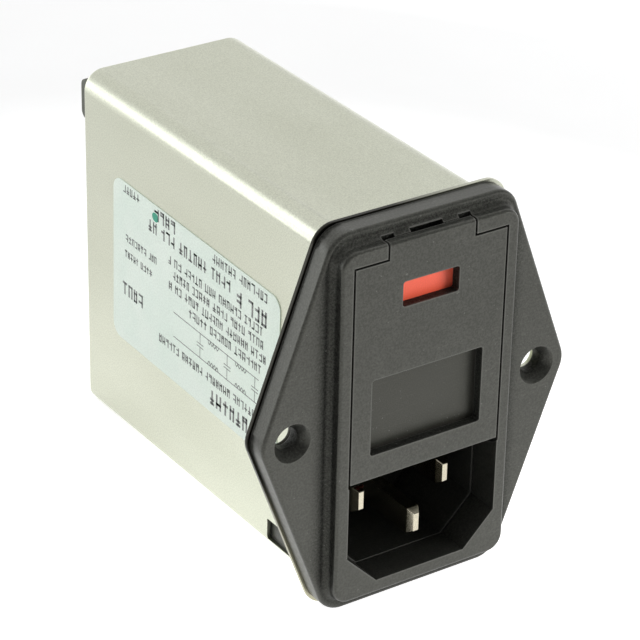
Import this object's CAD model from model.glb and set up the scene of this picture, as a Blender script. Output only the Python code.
"""Looks of a power entry module: finishes, edges, case shell, label print, camera and light."""
import math
import random

import bmesh
import bpy
from mathutils import Matrix, Vector


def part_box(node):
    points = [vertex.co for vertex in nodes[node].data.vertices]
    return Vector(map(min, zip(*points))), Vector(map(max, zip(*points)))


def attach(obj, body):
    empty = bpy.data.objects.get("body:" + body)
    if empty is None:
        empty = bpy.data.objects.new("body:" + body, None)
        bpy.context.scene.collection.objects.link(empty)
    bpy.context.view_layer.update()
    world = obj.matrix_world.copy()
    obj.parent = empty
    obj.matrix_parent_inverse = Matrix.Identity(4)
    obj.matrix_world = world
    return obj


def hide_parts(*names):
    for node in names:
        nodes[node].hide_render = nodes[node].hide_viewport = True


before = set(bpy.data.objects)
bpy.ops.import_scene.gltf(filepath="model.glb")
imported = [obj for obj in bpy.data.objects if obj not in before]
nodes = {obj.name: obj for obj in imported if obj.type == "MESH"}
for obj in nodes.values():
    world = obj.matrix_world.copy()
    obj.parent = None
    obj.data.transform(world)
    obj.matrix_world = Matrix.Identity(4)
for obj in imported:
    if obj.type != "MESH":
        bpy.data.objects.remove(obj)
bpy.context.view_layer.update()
scene = bpy.context.scene
MM = 0.001


# Node helpers

NOISE_RANGE = (0.3, 0.7)               # where nearly all of a noise's values lie
OPENNESS_SAMPLES = 8
MIX_A, MIX_B, MIX_RESULT = 6, 7, 2     # colour sockets of a Mix node


class Shader:
    """A material's node tree, with short calls for the nodes that the finishes share."""

    def __init__(self, name):
        self.material = bpy.data.materials.new(name)
        self.material.use_nodes = True
        self.tree = self.material.node_tree
        self.bsdf = self.tree.nodes["Principled BSDF"]
        self.place = self.node("ShaderNodeTexCoord").outputs["Object"]

    def node(self, kind):
        return self.tree.nodes.new(kind)

    def link(self, a, b):
        self.tree.links.new(a, b)

    def set(self, **values):
        """Fixed values of the surface, by socket name with _ for a space."""
        for key, value in values.items():
            self.bsdf.inputs[key.replace("_", " ")].default_value = value

    def colour(self, output):
        self.link(output, self.bsdf.inputs["Base Color"])

    def roughness(self, output):
        self.link(output, self.bsdf.inputs["Roughness"])

    def stretched(self, x, y, z):
        """The place, scaled along each axis. A small scale draws a pattern out along its axis."""
        node = self.node("ShaderNodeMapping")
        node.inputs["Scale"].default_value = (x, y, z)
        self.link(self.place, node.inputs["Vector"])
        return node.outputs["Vector"]

    def noise(self, size_mm, detail, vector=None):
        """Noise whose lumps are about size_mm across."""
        node = self.node("ShaderNodeTexNoise")
        node.inputs["Scale"].default_value = 1 / (size_mm * MM)
        node.inputs["Detail"].default_value = detail
        self.link(vector or self.place, node.inputs["Vector"])
        return node.outputs["Fac"]

    def ramp(self, fac, *stops):
        """Colours between stops, each a place on the ramp and a colour."""
        node = self.node("ShaderNodeValToRGB")
        for i, (at, colour) in enumerate(stops):
            stop = node.color_ramp.elements[i] if i < 2 else node.color_ramp.elements.new(at)
            stop.position = at
            stop.color = (*colour, 1)
        self.link(fac, node.inputs["Fac"])
        return node.outputs["Color"]

    def greys(self, fac, *stops):
        """Grey levels between stops, each a place on the ramp and a level."""
        return self.ramp(fac, *((at, (level,) * 3) for at, level in stops))

    def mapped(self, value, from_range, to_range=(0.0, 1.0)):
        """A number carried from one range to another and held at the ends."""
        node = self.node("ShaderNodeMapRange")
        node.inputs["From Min"].default_value, node.inputs["From Max"].default_value = from_range
        node.inputs["To Min"].default_value, node.inputs["To Max"].default_value = to_range
        self.link(value, node.inputs["Value"])
        return node.outputs["Result"]

    def spread(self, noise, low, high):
        return self.mapped(noise, NOISE_RANGE, (low, high))

    def along(self, axis, start_mm, end_mm):
        """0 at one place on an axis of the part and 1 at another."""
        split = self.node("ShaderNodeSeparateXYZ")
        self.link(self.place, split.inputs["Vector"])
        return self.mapped(split.outputs[axis], (start_mm * MM, end_mm * MM))

    def nearness(self, reach_mm, open_range, to_range, inside=False):
        """Number from how open the surface is within reach_mm, outwards or into the solid."""
        node = self.node("ShaderNodeAmbientOcclusion")
        node.samples = OPENNESS_SAMPLES
        node.inside = inside
        node.only_local = inside
        node.inputs["Distance"].default_value = reach_mm * MM
        return self.mapped(node.outputs["AO"], open_range, to_range)

    def mixed(self, fac, a, b, mode="MIX"):
        """Colour b over colour a. Each of the three may be a fixed value or an output."""
        node = self.node("ShaderNodeMix")
        node.data_type = "RGBA"
        node.blend_type = mode
        if isinstance(fac, float):
            node.inputs[0].default_value = fac
        else:
            self.link(fac, node.inputs[0])
        for socket, value in ((node.inputs[MIX_A], a), (node.inputs[MIX_B], b)):
            if isinstance(value, tuple):
                socket.default_value = (*value, 1)
            else:
                self.link(value, socket)
        return node.outputs[MIX_RESULT]

    def product(self, a, b):
        return self.mixed(1.0, a, b, "MULTIPLY")

    def calculated(self, operation, *outputs):
        """Result of a Math node with these outputs linked to its sockets."""
        node = self.node("ShaderNodeMath")
        node.operation = operation
        for socket, output in zip(node.inputs, outputs):
            self.link(output, socket)
        return node.outputs["Value"]

    def bump(self, fac, depth_mm, under=None):
        node = self.node("ShaderNodeBump")
        node.inputs["Distance"].default_value = depth_mm * MM
        self.link(fac, node.inputs["Height"])
        if under:
            self.link(under, node.inputs["Normal"])
        self.link(node.outputs["Normal"], self.bsdf.inputs["Normal"])
        return node.outputs["Normal"]


# Moulded plastic

CLOUD_MM = 9
SCUFF_MM = 0.3
SCUFF_STRETCH = (0.04, 1, 1)
SCUFF_STOPS = ((0.58, 1.0), (0.74, 1.4))
RUBBED = (0.1, 0.1, 0.092)             # colour of edges that hands and tools have rubbed
RUB_REACH = 0.3
RUB_RANGE = (0.55, 0.92)
LINT = (0.095, 0.095, 0.088)
LINT_MM = 0.45
LINT_STOPS = ((0.745, 0.0), (0.8, 1.0))
WARM_GLOSS = (1, 1, 0.88, 1)
HOLLOW_RANGE = (0.76, 0.93)
HOLLOW_GLOSS = 0.08                    # share of the gloss that a deep hollow keeps


def moulded(name, dark, light, rough=(0.34, 0.44), grain_mm=0.2, depth_mm=0.004,
            fleck=(0.72, 1.22), gloss=0.5, hollow_mm=0.0, handled=False):
    """Moulded plastic: a fine spark-eroded grain and slight clouding. Hollows up to about
    hollow_mm wide are dusty, so their gloss fades. A handled part has scuffs, lint and rubbed
    edges."""
    s = Shader(name)
    cloud = s.ramp(s.noise(CLOUD_MM, 4), (0.35, dark), (0.65, light))
    grain = s.greys(s.noise(grain_mm, 2), (0.36, fleck[0]), (0.66, fleck[1]))
    tone = s.product(cloud, grain)
    if handled:
        scuff = s.greys(s.noise(SCUFF_MM, 2, s.stretched(*SCUFF_STRETCH)), *SCUFF_STOPS)
        tone = s.product(tone, scuff)
        rub = s.nearness(RUB_REACH, RUB_RANGE, (1.0, 0.0), inside=True)
        tone = s.mixed(rub, tone, RUBBED)
        lint = s.greys(s.noise(LINT_MM, 1), *LINT_STOPS)
        tone = s.mixed(lint, tone, LINT)
        s.set(Specular_Tint=WARM_GLOSS)
    s.colour(tone)
    s.roughness(s.spread(s.noise(grain_mm * 2, 3), *rough))
    s.bump(s.noise(grain_mm, 3), depth_mm)
    s.set(Specular_IOR_Level=gloss)
    if hollow_mm:
        faded = s.nearness(hollow_mm, HOLLOW_RANGE, (HOLLOW_GLOSS * gloss, gloss))
        s.link(faded, s.bsdf.inputs["Specular IOR Level"])
    return s.material


# Plated metal

SHEET_CLOUD_MM = 14
SHEET_SMEAR_MM = 0.5
RIM_DEPTH = (-0.02, -0.06)             # from the panel's face to just in front of it
RIM_SIDE = (12.0, -3.0)                # from the clean side of the rim to the worn one
RIM_WEAR = (-28.0, -6.0)               # from the foot of the rim to where it is worn most


def plated(name, dark, light, rough, streak=(1, 1, 1), grain_mm=0.12, depth_mm=0.003, rim=None):
    """Plated sheet metal: satin, with a fine grain and faint clouds. The rim, which lies in front
    of the panel, may be worn on the left, with one colour at its foot and one above."""
    s = Shader(name)
    cloud = s.ramp(s.noise(SHEET_CLOUD_MM, 5, s.stretched(*streak)), (0.32, dark), (0.68, light))
    fleck = s.greys(s.noise(grain_mm, 2), (0.35, 0.88), (0.65, 1.08))
    tone = s.product(cloud, fleck)
    if rim:
        foot, upper = rim
        worn = s.ramp(s.along("Z", *RIM_WEAR), (0.0, foot), (1.0, upper))
        where = s.product(s.along("Y", *RIM_DEPTH), s.along("X", *RIM_SIDE))
        tone = s.mixed(where, tone, worn)
    s.colour(tone)
    s.roughness(s.spread(s.noise(SHEET_SMEAR_MM, 4, s.stretched(*streak)), *rough))
    s.bump(s.noise(grain_mm, 3), depth_mm)
    s.set(Metallic=1.0)
    return s.material


# Other finishes

GLASS_IOR = 1.47
WIRE_RIDGES = 330
WEAVE = 900


def glass_finish():
    """Drawn glass with a faint tint."""
    s = Shader("fuse_glass")
    s.roughness(s.spread(s.noise(3, 3), 0.02, 0.08))
    s.colour(s.ramp(s.noise(6, 2), (0.3, (0.93, 0.97, 0.96)), (0.7, (0.98, 1, 0.99))))
    s.set(Transmission_Weight=1.0, IOR=GLASS_IOR)
    return s.material


def wound_finish():
    """Enamelled wire: fine ridges that run round the ring's section."""
    s = Shader("enamelled_wire")
    wave = s.node("ShaderNodeTexWave")
    wave.bands_direction = "Y"
    wave.inputs["Scale"].default_value = WIRE_RIDGES
    wave.inputs["Distortion"].default_value = 0.6
    s.link(s.place, wave.inputs["Vector"])
    s.colour(s.ramp(wave.outputs["Fac"], (0.1, (0.2, 0.06, 0.02)), (0.7, (0.62, 0.24, 0.09))))
    s.roughness(s.spread(s.noise(1.5, 3), 0.22, 0.36))
    s.bump(wave.outputs["Fac"], 0.12)
    s.set(Coat_Weight=0.5)
    return s.material


def board_finish():
    """Green laminate in which the glass weave shows faintly."""
    s = Shader("board_laminate")
    weave = s.node("ShaderNodeTexWave")
    weave.inputs["Scale"].default_value = WEAVE
    s.link(s.place, weave.inputs["Vector"])
    base = s.ramp(s.noise(5, 4), (0.3, (0.02, 0.09, 0.035)), (0.7, (0.035, 0.13, 0.05)))
    s.colour(s.mixed(0.12, base, weave.outputs["Color"], "OVERLAY"))
    s.roughness(s.spread(s.noise(2, 3), 0.3, 0.45))
    s.bump(weave.outputs["Fac"], 0.01)
    return s.material


def label_finish():
    """Coated paper: pale, slightly mottled, with faint waves where it was stuck down."""
    s = Shader("label_paper")
    mottle = s.ramp(s.noise(7, 4), (0.35, (0.81, 0.92, 0.825)), (0.65, (0.86, 0.95, 0.86)))
    fibre = s.greys(s.noise(0.25, 3), (0.4, 0.95), (0.6, 1.03))
    s.colour(s.product(mottle, fibre))
    s.roughness(s.spread(s.noise(1.2, 3), 0.4, 0.52))
    waves = s.bump(s.noise(6, 2), 0.05)
    s.bump(s.noise(0.2, 2), 0.003, under=waves)
    return s.material


def ink(name, thin, full):
    """Printing ink that covers unevenly."""
    s = Shader(name)
    s.colour(s.ramp(s.noise(0.35, 3), (0.35, full), (0.7, thin)))
    s.roughness(s.spread(s.noise(0.6, 2), 0.4, 0.55))
    return s.material


FINISH = {
    "case": plated("case_nickel", (0.55, 0.565, 0.46), (0.6, 0.615, 0.51), (0.3, 0.38),
                   (1, 0.3, 1), 0.2, rim=((0.5, 0.48, 0.35), (0.03, 0.029, 0.024))),
    "moulding": moulded("moulding", (0.025, 0.0256, 0.0225), (0.0307, 0.0313, 0.0277),
                        (0.3, 0.4), 0.28, fleck=(0.5, 1.45), gloss=0.64, hollow_mm=3,
                        handled=True),
    "plate": moulded("plate_moulding", (0.02, 0.02, 0.0162), (0.024, 0.024, 0.0197),
                     fleck=(0.66, 1.28), gloss=0.55, handled=True),
    "red": moulded("red_moulding", (0.94, 0.125, 0.066), (0.97, 0.147, 0.08), fleck=(0.96, 1.03)),
    "contact": plated("contact_nickel", (0.5, 0.465, 0.36), (0.56, 0.52, 0.41), (0.15, 0.2),
                      depth_mm=0.0),
    "dull": plated("terminal_tin", (0.105, 0.11, 0.093), (0.135, 0.14, 0.12), (0.35, 0.5)),
    "glass": glass_finish(),
    "winding": wound_finish(),
    "board": board_finish(),
    "label": label_finish(),
    "core": moulded("coated_core", (0.02, 0.07, 0.045), (0.035, 0.1, 0.065), (0.35, 0.5)),
    "film_box": moulded("capacitor_box", (0.5, 0.42, 0.08), (0.6, 0.5, 0.12), (0.3, 0.42)),
    "ceramic": moulded("dipped_ceramic", (0.04, 0.12, 0.36), (0.06, 0.17, 0.45), (0.25, 0.38)),
    "resistor": moulded("resistor_coat", (0.5, 0.36, 0.18), (0.6, 0.44, 0.24), (0.35, 0.5)),
    "brown": moulded("brown_sleeve", (0.07, 0.028, 0.014), (0.1, 0.04, 0.02), (0.35, 0.5)),
    "blue": moulded("blue_sleeve", (0.02, 0.07, 0.26), (0.03, 0.1, 0.34), (0.35, 0.5)),
}


# Finish and edges of every CAD node

def rows(finish, edge_mm, *names):
    return {name: (finish, edge_mm) for name in names}


LOOKS = {
    **rows("case", 0.1, "filter_case"),
    **rows("moulding", 0.08, "front_bezel", "fuse_door"),
    **rows("plate", 0.1, "blanking_plate", "terminal_insulator"),
    **rows("red", 0.12, "fuse_carrier"),
    **rows("contact", 0.12, "line_blade", "neutral_blade", "earth_blade"),
    **rows("contact", 0.06, "lower_fuse_caps", "upper_fuse_caps", "lower_fuse_contacts",
           "upper_fuse_contacts", "earth_strap"),
    **rows("contact", 0, "lower_fuse_wire", "upper_fuse_wire"),
    **rows("dull", 0.08, "line_terminal", "neutral_terminal", "earth_terminal"),
    **rows("glass", 0, "lower_fuse_tube", "upper_fuse_tube"),
    **rows("brown", 0.1, "line_feed_wire", "line_load_wire"),
    **rows("blue", 0.1, "neutral_feed_wire", "neutral_load_wire"),
    **rows("board", 0.1, "filter_board"),
    **rows("core", 0, "input_choke_core", "output_choke_core"),
    **rows("winding", 0.15, "input_choke_windings", "output_choke_windings"),
    **rows("film_box", 0.25, "input_x_capacitor", "output_x_capacitor", "small_x_capacitor"),
    **rows("ceramic", 0.4, "y_capacitors"),
    **rows("resistor", 0.3, "bleed_resistor"),
    **rows("label", 0, "rating_label"),
}
SHARP = math.radians(28)               # edges that bend more than this are rounded
FLAT = math.radians(0.3)               # faces that bend less than this count as one
WELD_GAP = 0.001 * MM
EDGE_STEPS = 2


def round_edges(obj, edge_mm):
    """Joins the faces' borders, clears flat faces of inner edges and rounds sharp edges."""
    weld = obj.modifiers.new("join", "WELD")
    weld.merge_threshold = WELD_GAP
    if not edge_mm:
        return
    flat = obj.modifiers.new("flat", "DECIMATE")
    flat.decimate_type = "DISSOLVE"
    flat.angle_limit = FLAT
    bevel = obj.modifiers.new("edge", "BEVEL")
    bevel.width = edge_mm * MM
    bevel.segments = EDGE_STEPS
    bevel.limit_method = "ANGLE"
    bevel.angle_limit = SHARP
    bevel.harden_normals = True
    bevel.use_clamp_overlap = True
    bevel.miter_outer = "MITER_ARC"


for name, obj in nodes.items():
    finish, edge_mm = LOOKS[name]
    obj.data.materials.clear()
    obj.data.materials.append(FINISH[finish])
    round_edges(obj, edge_mm)


# Case shell: the case with its two upper edges bent on the wider curve that the photograph shows

SOLID_EDGE = 2.0 * MM                  # outside radius of the solid's upper edges
BENT_EDGE = 3.1 * MM                   # outside radius of the shell's upper edges
SHEET = 0.6 * MM
SLACK = 0.01 * MM


def bent_case():
    """Copy of the case's mesh in which the outside of each upper edge has a wider radius."""
    mesh = nodes["filter_case"].data.copy()
    end = max(v.co.y for v in mesh.vertices)
    wall = [v.co for v in mesh.vertices if v.co.y > end / 2]
    middle = Vector((max(p.x for p in wall) - SOLID_EDGE, max(p.z for p in wall) - SOLID_EDGE))
    for v in mesh.vertices:
        out = Vector((abs(v.co.x), v.co.z)) - middle
        outside = out.length > SOLID_EDGE - SHEET / 2 or v.co.y > end - SHEET / 2
        if min(out) < -SLACK or out.length > SOLID_EDGE + SLACK or not outside:
            continue
        shift = (out.normalized() - Vector((1, 1))) * (BENT_EDGE - SOLID_EDGE)
        v.co.x += math.copysign(shift.x, -v.co.x)
        v.co.z += shift.y
    return mesh


case_shell = bpy.data.objects.new("case_shell", bent_case())
scene.collection.objects.link(case_shell)
round_edges(case_shell, LOOKS["filter_case"][1])
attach(case_shell, "module")
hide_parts("filter_case")


# Label print: rows of plain marks, a circuit sketch and a dot. Sizes and places are in mm.

LABEL_TURN = math.radians(1.4)
INK_LIFT, INK_SINK = 0.012, 0.03       # how far the ink lies over and in the label
INK_T = INK_LIFT + INK_SINK
INK_MIDDLE = (INK_LIFT - INK_SINK) / 2

# Shares of a mark's height
STROKE = 0.17
MARK_W = (0.45, 0.62)
MARK_GAP = 0.2
WORD_GAP = 0.5
BAR_LEVELS = (-0.42, -0.15, 0.2, 0.42)
# Shares of a mark's width, and how many bars a mark has
STEM_PLACES = ((0,), (0, 1), (0, 1), (0.5,))
BAR_COUNTS = (1, 2, 2)
# Start and end along the label, middle and height of each row
PRINT_ROWS = (
    (14.6, 18.6, 11.9, 1.2), (4.9, 9.9, 11.6, 1.9), (-18.6, -5.2, 11.6, 1.4),
    (-9.5, 12.2, 9.2, 1.8), (-18.6, -11.6, 8.3, 2.4), (-17.6, 6.0, 6.1, 1.3),
    (-17.9, 5.4, 4.1, 1.3), (-18.6, 6.0, 2.1, 1.3), (-17.5, 0.6, 0.1, 1.3),
    (-16.2, 8.4, -7.6, 1.3), (-14.5, -3.6, -10.4, 2.3), (9.8, 17.9, 4.2, 1.1),
    (11.0, 18.0, 1.6, 1.1), (13.5, 18.6, -4.2, 2.0),
)

CIRCUIT_START, CIRCUIT_END = -17.0, 5.0
RAIL_LOW, RAIL_HIGH = -5.6, -1.7
LINE_W = 0.13
SHUNTS = (0.04, 0.36, 0.68)            # shares of the circuit's length
COILS = (0.14, 0.46)
PLATE_HALF, PLATE_GAP = 0.8, 0.25
TURNS, TURN_L, TURN_H = 4, 0.7, 0.6
TURN_STEPS = (0, 0.25, 0.5, 0.75, 1)

DOT_PLACE = (10.2, 11.0)
DOT_RADII = (0.85, 0.7)
DOT_SIDES = 32


def label_frame():
    """Matrix from the label's own x (to the rear), y (up) and z (out), in mm, to the part's."""
    low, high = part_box("rating_label")
    middle = (low + high) / 2
    along = Vector((0, math.cos(LABEL_TURN), math.sin(LABEL_TURN)))
    up = Vector((0, -math.sin(LABEL_TURN), math.cos(LABEL_TURN)))
    m = Matrix((along, up, Vector((-1, 0, 0)))).transposed().to_4x4()
    m.translation = Vector((low.x, middle.y, middle.z))
    return m @ Matrix.Scale(MM, 4)


LABEL_PLACE = label_frame()


def add_bar(bm, x, y, w, h, angle=0.0):
    """Thin raised bar of ink about a point of the label."""
    box = bmesh.ops.create_cube(bm, size=1)["verts"]
    m = (Matrix.Translation((x, y, INK_MIDDLE)) @ Matrix.Rotation(angle, 4, "Z")
         @ Matrix.Diagonal((w, h, INK_T, 1)))
    bmesh.ops.transform(bm, matrix=LABEL_PLACE @ m, verts=box)


def add_line(bm, a, b):
    d = Vector(b) - Vector(a)
    m = (Vector(a) + Vector(b)) / 2
    add_bar(bm, m.x, m.y, d.length + LINE_W, LINE_W, math.atan2(d.y, d.x))


def add_mark(bm, x, y, w, h, draw):
    """Small mark of one or two stems and one or two bars."""
    t = STROKE * h
    for at in draw.choice(STEM_PLACES):
        add_bar(bm, x + t / 2 + at * (w - t), y, t, h)
    for _ in range(draw.choice(BAR_COUNTS)):
        add_bar(bm, x + w / 2, y + draw.choice(BAR_LEVELS) * h, w, t)


def add_row(bm, x0, x1, y, height, draw):
    """Marks between x0 and x1 in groups, as print seen from afar."""
    x, left = x0, draw.randint(3, 7)
    while x < x1:
        w = height * draw.uniform(*MARK_W)
        add_mark(bm, x, y, w, height, draw)
        x += w + MARK_GAP * height
        left -= 1
        if not left:
            x += WORD_GAP * height
            left = draw.randint(2, 7)


def add_coil(bm, x, y, side):
    """Row of half turns that starts at a point of a rail and bulges to one side of it."""
    for k in range(TURNS):
        ring = [(x + TURN_L * (k + t), y + side * TURN_H * math.sin(math.pi * t))
                for t in TURN_STEPS]
        for a, b in zip(ring, ring[1:]):
            add_line(bm, a, b)


def add_circuit(bm):
    """Two rails with three shunts and two pairs of coils between them."""
    length = CIRCUIT_END - CIRCUIT_START
    middle = (RAIL_LOW + RAIL_HIGH) / 2
    for y in (RAIL_LOW, RAIL_HIGH):
        add_line(bm, (CIRCUIT_START, y), (CIRCUIT_END, y))
    for share in SHUNTS:
        x = CIRCUIT_START + share * length
        for side, y in ((-1, RAIL_LOW), (1, RAIL_HIGH)):
            plate_y = middle + side * PLATE_GAP
            add_line(bm, (x, y), (x, plate_y))
            add_line(bm, (x - PLATE_HALF, plate_y), (x + PLATE_HALF, plate_y))
    for share in COILS:
        x = CIRCUIT_START + share * length
        add_coil(bm, x, RAIL_LOW, 1)
        add_coil(bm, x, RAIL_HIGH, -1)


def add_dot(bm):
    disc = bmesh.ops.create_cone(bm, cap_ends=True, segments=DOT_SIDES, radius1=1, radius2=1, depth=1)
    m = (Matrix.Translation((*DOT_PLACE, INK_MIDDLE))
         @ Matrix.Diagonal((*DOT_RADII, INK_T, 1)))
    bmesh.ops.transform(bm, verts=disc["verts"], matrix=LABEL_PLACE @ m)


def ink_piece(name, bm, finish):
    mesh = bpy.data.meshes.new(name)
    bm.to_mesh(mesh)
    bm.free()
    obj = bpy.data.objects.new(name, mesh)
    scene.collection.objects.link(obj)
    mesh.materials.append(finish)
    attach(obj, "module")


draw = random.Random(11)
marks = bmesh.new()
for row in PRINT_ROWS:
    add_row(marks, *row, draw)
add_circuit(marks)
ink_piece("label_print", marks, ink("grey_ink", (0.3, 0.31, 0.3), (0.13, 0.135, 0.13)))
dot = bmesh.new()
add_dot(dot)
ink_piece("label_dot", dot, ink("green_ink", (0.04, 0.4, 0.26), (0.02, 0.32, 0.2)))


# Camera: at the photograph's angle

AZIMUTH, ELEVATION, ROLL = 34.531, 28.135, 1.272
EYE = Vector((-204.458, -277.422, 194.862)) * MM
SENSOR = 36.0
LENS = 165.572
NEAREST, FARTHEST = 0.01, 20           # what the camera sees, in m

camera = bpy.data.objects.new("camera", bpy.data.cameras.new("camera"))
camera.data.sensor_width = SENSOR
camera.data.sensor_height = SENSOR
camera.data.lens = LENS
camera.data.clip_start = NEAREST
camera.data.clip_end = FARTHEST
turn = (Matrix.Rotation(math.radians(-AZIMUTH), 4, "Z")
        @ Matrix.Rotation(math.radians(90 - ELEVATION), 4, "X")
        @ Matrix.Rotation(math.radians(ROLL), 4, "Z"))
camera.matrix_world = Matrix.Translation(EYE) @ turn
scene.collection.objects.link(camera)
scene.camera = camera


# Stage: a pale floor that the rim's bottom edge and the case's far end rest on

REAR_Z = -26.35 * MM                   # height of the case's underside at its far end
FLOOR_HALF = 3.0
# Distance from the object's foot in m, and how much the paper glows there
GLOW = ((0.015, 0.9), (0.04, 0.6), (0.08, 0.27), (0.1, 0.21), (0.13, 0.02), (0.165, 0.05),
        (0.21, 0.6), (0.6, 0.9))
GLOW_SHIFT = (0, -0.0085, 0)
GLOW_STRETCH = (1, 0.85, 1)
FAR_WHITE = ((0.2, 0.0), (0.34, 0.4))  # what the camera sees on top of that, far off


def floor_finish():
    """White paper. It glows for the camera and for reflections, so that it reads white."""
    s = Shader("floor_paper")
    s.colour(s.greys(s.noise(40, 3), (0.3, 0.86), (0.7, 0.88)))
    s.set(Roughness=0.9, Specular_IOR_Level=0.1)
    about = s.node("ShaderNodeMapping")
    about.inputs["Location"].default_value = GLOW_SHIFT
    about.inputs["Scale"].default_value = GLOW_STRETCH
    s.link(s.place, about.inputs["Vector"])
    far = s.node("ShaderNodeVectorMath")
    far.operation = "LENGTH"
    s.link(about.outputs["Vector"], far.inputs[0])
    path = s.node("ShaderNodeLightPath").outputs
    seen = s.calculated("MAXIMUM", path["Is Camera Ray"], path["Is Glossy Ray"])
    seen = s.calculated("MAXIMUM", seen, path["Is Transmission Ray"])
    amount = s.calculated("MULTIPLY", seen, s.greys(far.outputs["Value"], *GLOW))
    white = s.greys(far.outputs["Value"], *FAR_WHITE)
    amount = s.calculated("MULTIPLY_ADD", path["Is Camera Ray"], white, amount)
    glow = s.node("ShaderNodeEmission")
    glow.inputs["Color"].default_value = (1, 1, 1, 1)
    s.link(amount, glow.inputs["Strength"])
    both = s.node("ShaderNodeAddShader")
    s.link(s.bsdf.outputs[0], both.inputs[0])
    s.link(glow.outputs[0], both.inputs[1])
    s.link(both.outputs[0], s.tree.nodes["Material Output"].inputs["Surface"])
    return s.material


case_low, case_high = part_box("filter_case")
lean = math.atan2(REAR_Z - case_low.z, case_high.y)
corners = [(x * FLOOR_HALF, y * FLOOR_HALF, 0) for x, y in ((-1, -1), (1, -1), (1, 1), (-1, 1))]
floor_mesh = bpy.data.meshes.new("floor")
floor_mesh.from_pydata(corners, [], [(0, 1, 2, 3)])
floor_mesh.materials.append(floor_finish())
floor = bpy.data.objects.new("floor", floor_mesh)
floor.matrix_world = Matrix.Translation((0, 0, case_low.z)) @ Matrix.Rotation(lean, 4, "X")
scene.collection.objects.link(floor)
floor.visible_shadow = False           # so that it doesn't count in how open a surface is


# Light: a room that is bright behind the object and dim on the camera's side, with soft boxes

BRIGHT_SIDE = Vector((0.35, 0.9, 0.25)).normalized()
# From the dim side, at 0, to the bright side, at 1
ROOM = ((0.0, 0.24), (0.5, 0.28), (0.72, 0.7), (0.92, 1.0))
LIT_SPOT = Vector((0, 0.02, 0))


def room():
    """World with the levels of ROOM above the horizon and black below it."""
    world = bpy.data.worlds.new("room")
    world.use_nodes = True
    tree = world.node_tree
    back = tree.nodes["Background"]
    where = tree.nodes.new("ShaderNodeTexCoord").outputs["Generated"]
    facing = tree.nodes.new("ShaderNodeVectorMath")
    facing.operation = "DOT_PRODUCT"
    facing.inputs[1].default_value = BRIGHT_SIDE
    tree.links.new(where, facing.inputs[0])
    share = tree.nodes.new("ShaderNodeMapRange")
    share.inputs["From Min"].default_value = -1
    tree.links.new(facing.outputs["Value"], share.inputs["Value"])
    walls = tree.nodes.new("ShaderNodeValToRGB")
    for k, (at, level) in enumerate(ROOM):
        stop = walls.color_ramp.elements[k] if k < 2 else walls.color_ramp.elements.new(at)
        stop.position = at
        stop.color = (level, level, level, 1)
    tree.links.new(share.outputs["Result"], walls.inputs["Fac"])
    tree.links.new(walls.outputs["Color"], back.inputs["Color"])
    height = tree.nodes.new("ShaderNodeSeparateXYZ")
    tree.links.new(where, height.inputs["Vector"])
    above = tree.nodes.new("ShaderNodeMath")
    above.operation = "GREATER_THAN"
    above.inputs[1].default_value = 0.0
    tree.links.new(height.outputs["Z"], above.inputs[0])
    tree.links.new(above.outputs["Value"], back.inputs["Strength"])
    return world


def soft_box(name, place, size, power, tint=(1, 1, 1), mirrored=True):
    """Area lamp that faces the object. Shiny surfaces show it only if it is mirrored."""
    data = bpy.data.lights.new(name, "AREA")
    data.shape = "RECTANGLE"
    data.size, data.size_y = size
    data.energy = power
    data.color = tint
    obj = bpy.data.objects.new(name, data)
    obj.location = place
    obj.rotation_euler = (LIT_SPOT - Vector(place)).to_track_quat("-Z", "Y").to_euler()
    obj.visible_camera = False
    obj.visible_glossy = mirrored
    scene.collection.objects.link(obj)


scene.world = room()
soft_box("key", (0, 0.05, 0.55), (1.0, 0.4), 2.2, mirrored=False)
soft_box("edge", (-0.43, 0.585, 0.095), (0.9, 0.26), 1.3, (0.94, 0.97, 1))
soft_box("front", (0.6, -0.52, 0.1), (0.4, 0.3), 4.7, mirrored=False)

scene.view_settings.view_transform = "Standard"
